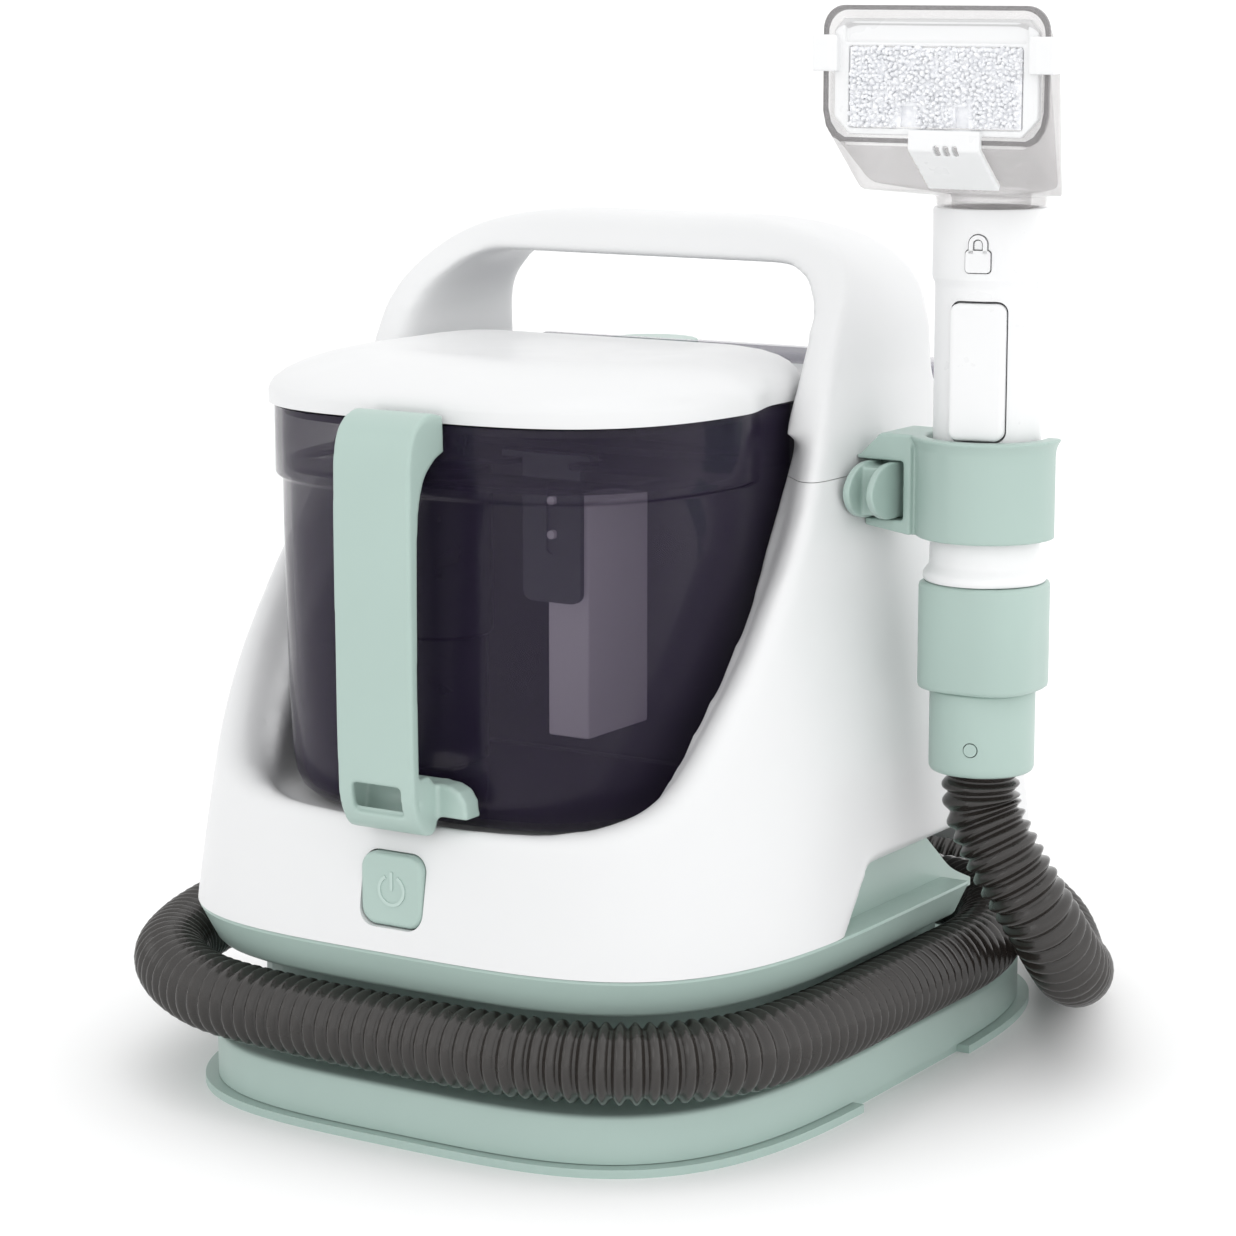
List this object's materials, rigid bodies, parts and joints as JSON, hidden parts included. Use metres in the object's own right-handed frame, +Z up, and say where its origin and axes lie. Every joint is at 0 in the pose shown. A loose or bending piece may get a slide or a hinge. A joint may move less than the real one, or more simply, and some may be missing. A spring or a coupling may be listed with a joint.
{
  "type": "portable carpet cleaner",
  "caption": "Portable carpet spot cleaner: lift-out tinted tank with strap handle, carry handle, side-clipped hand tool with clear brush nozzle, long ribbed hose wound round the base.",
  "frame": {"origin": "on the floor under the middle of the base plate", "axes": "+Z up, the power button and recovery tank face -Y, the hand tool is on the +X side"},
  "size_m": [0.3432, 0.3602, 0.383],
  "materials": {
    "white_shell": "satin gloss moulded",
    "mint_plastic": "satin moulded",
    "smoke_tank": "gloss, see-through smoke tint",
    "clear_plastic": "gloss, see-through",
    "clear_tank": "gloss, lightly tinted",
    "dark_plastic": "matte",
    "grey_plastic": "satin",
    "hose": "gloss ribbed",
    "rubber": "matte",
    "steel": "brushed",
    "board": "satin",
    "bristle": "short bristles"
  },
  "bodies": {
    "base": {"bottom_cover": "mint_plastic", "base_plinth": "mint_plastic", "foot_front_left": "rubber", "foot_front_right": "rubber", "foot_rear_left": "rubber", "foot_rear_right": "rubber", "base_screw_1": "steel", "base_screw_2": "steel", "base_screw_3": "steel", "base_screw_4": "steel", "hose_groove_wall": "mint_plastic", "skirt_band": "mint_plastic", "body_shell": "white_shell", "carry_handle": "white_shell", "top_deck": "grey_plastic", "corner_cover": "mint_plastic", "power_switch": "dark_plastic", "vacuum_motor": "dark_plastic", "fan_casing": "dark_plastic", "water_pump": "dark_plastic", "control_board": "board", "board_relay": "dark_plastic", "suction_duct": "dark_plastic", "air_duct": "dark_plastic", "clean_water_line": "clear_plastic", "hose_port": "dark_plastic", "cord_gland": "dark_plastic", "tool_holder": "mint_plastic", "suction_hose": "hose"},
    "power_button": {"power_button": "white_shell"},
    "fan_rotor": {"fan_impeller": "dark_plastic", "motor_shaft": "steel"},
    "dirty_tank": {"dirty_tank": "smoke_tank", "tank_inlet_pipe": "clear_plastic", "float_guide": "dark_plastic", "splash_tray": "smoke_tank", "tank_gasket": "rubber", "strap_handle": "mint_plastic"},
    "float": {"float": "clear_plastic"},
    "tank_lid": {"tank_lid": "white_shell", "lid_seal": "rubber"},
    "clean_tank": {"clean_tank": "clear_tank", "clean_tank_valve": "dark_plastic"},
    "filler_cap": {"filler_cap": "dark_plastic"},
    "hand_tool": {"wand_tube": "white_shell", "wand_sleeve": "mint_plastic", "hose_cuff": "mint_plastic", "cuff_pin": "dark_plastic", "trigger_valve": "dark_plastic"},
    "trigger": {"trigger": "white_shell"},
    "lock_button": {"lock_button": "white_shell"},
    "nozzle": {"nozzle_hood": "clear_plastic"},
    "brush": {"brush_carrier": "white_shell", "brush_pad": "bristle"},
    "holder_latch": {"holder_latch": "white_shell"}
  },
  "joints": [
    {"name": "power_button_press", "type": "slide", "parent": "base", "child": "power_button", "axis": [0, 1, 0], "range_m": [0, 0.002], "stiffness_N_per_m": 400},
    {"name": "fan_spin", "type": "hinge", "parent": "base", "child": "fan_rotor", "pos_m": [0, 0.015, 0.05], "axis": [0, 0, 1], "continuous": true},
    {"name": "dirty_tank_lift", "type": "slide", "parent": "base", "child": "dirty_tank", "axis": [0, 0, 1], "range_m": [0, 0.16]},
    {"name": "tank_lid_lift", "type": "slide", "parent": "dirty_tank", "child": "tank_lid", "axis": [0, 0, 1], "range_m": [0, 0.05]},
    {"name": "float_rise", "type": "slide", "parent": "dirty_tank", "child": "float", "axis": [0, 0, 1], "range_m": [0, 0.012]},
    {"name": "clean_tank_lift", "type": "slide", "parent": "base", "child": "clean_tank", "axis": [0, 0, 1], "range_m": [0, 0.16]},
    {"name": "filler_cap_lift", "type": "slide", "parent": "clean_tank", "child": "filler_cap", "axis": [0, 0, 1], "range_m": [0, 0.025]},
    {"name": "hand_tool_pull", "type": "slide", "parent": "base", "child": "hand_tool", "axis": [0, 1, 0], "range_m": [0, 0.06]},
    {"name": "trigger_press", "type": "hinge", "parent": "hand_tool", "child": "trigger", "pos_m": [0.14987, -0.02052, 0.283], "axis": [0.9703, 0.2419, 0], "range_deg": [0, 3.5], "stiffness_Nm_per_rad": 2},
    {"name": "lock_button_press", "type": "slide", "parent": "hand_tool", "child": "lock_button", "axis": [-0.2419, 0.9703, 0], "range_m": [0, 0.001], "stiffness_N_per_m": 300},
    {"name": "nozzle_lift", "type": "slide", "parent": "hand_tool", "child": "nozzle", "axis": [0, 0, 1], "range_m": [0, 0.04]},
    {"name": "brush_pull", "type": "slide", "parent": "nozzle", "child": "brush", "axis": [0, -1, 0], "range_m": [0, 0.03]},
    {"name": "holder_latch_press", "type": "slide", "parent": "base", "child": "holder_latch", "axis": [0, 1, 0], "range_m": [0, 0.0015], "stiffness_N_per_m": 400}
  ]
}
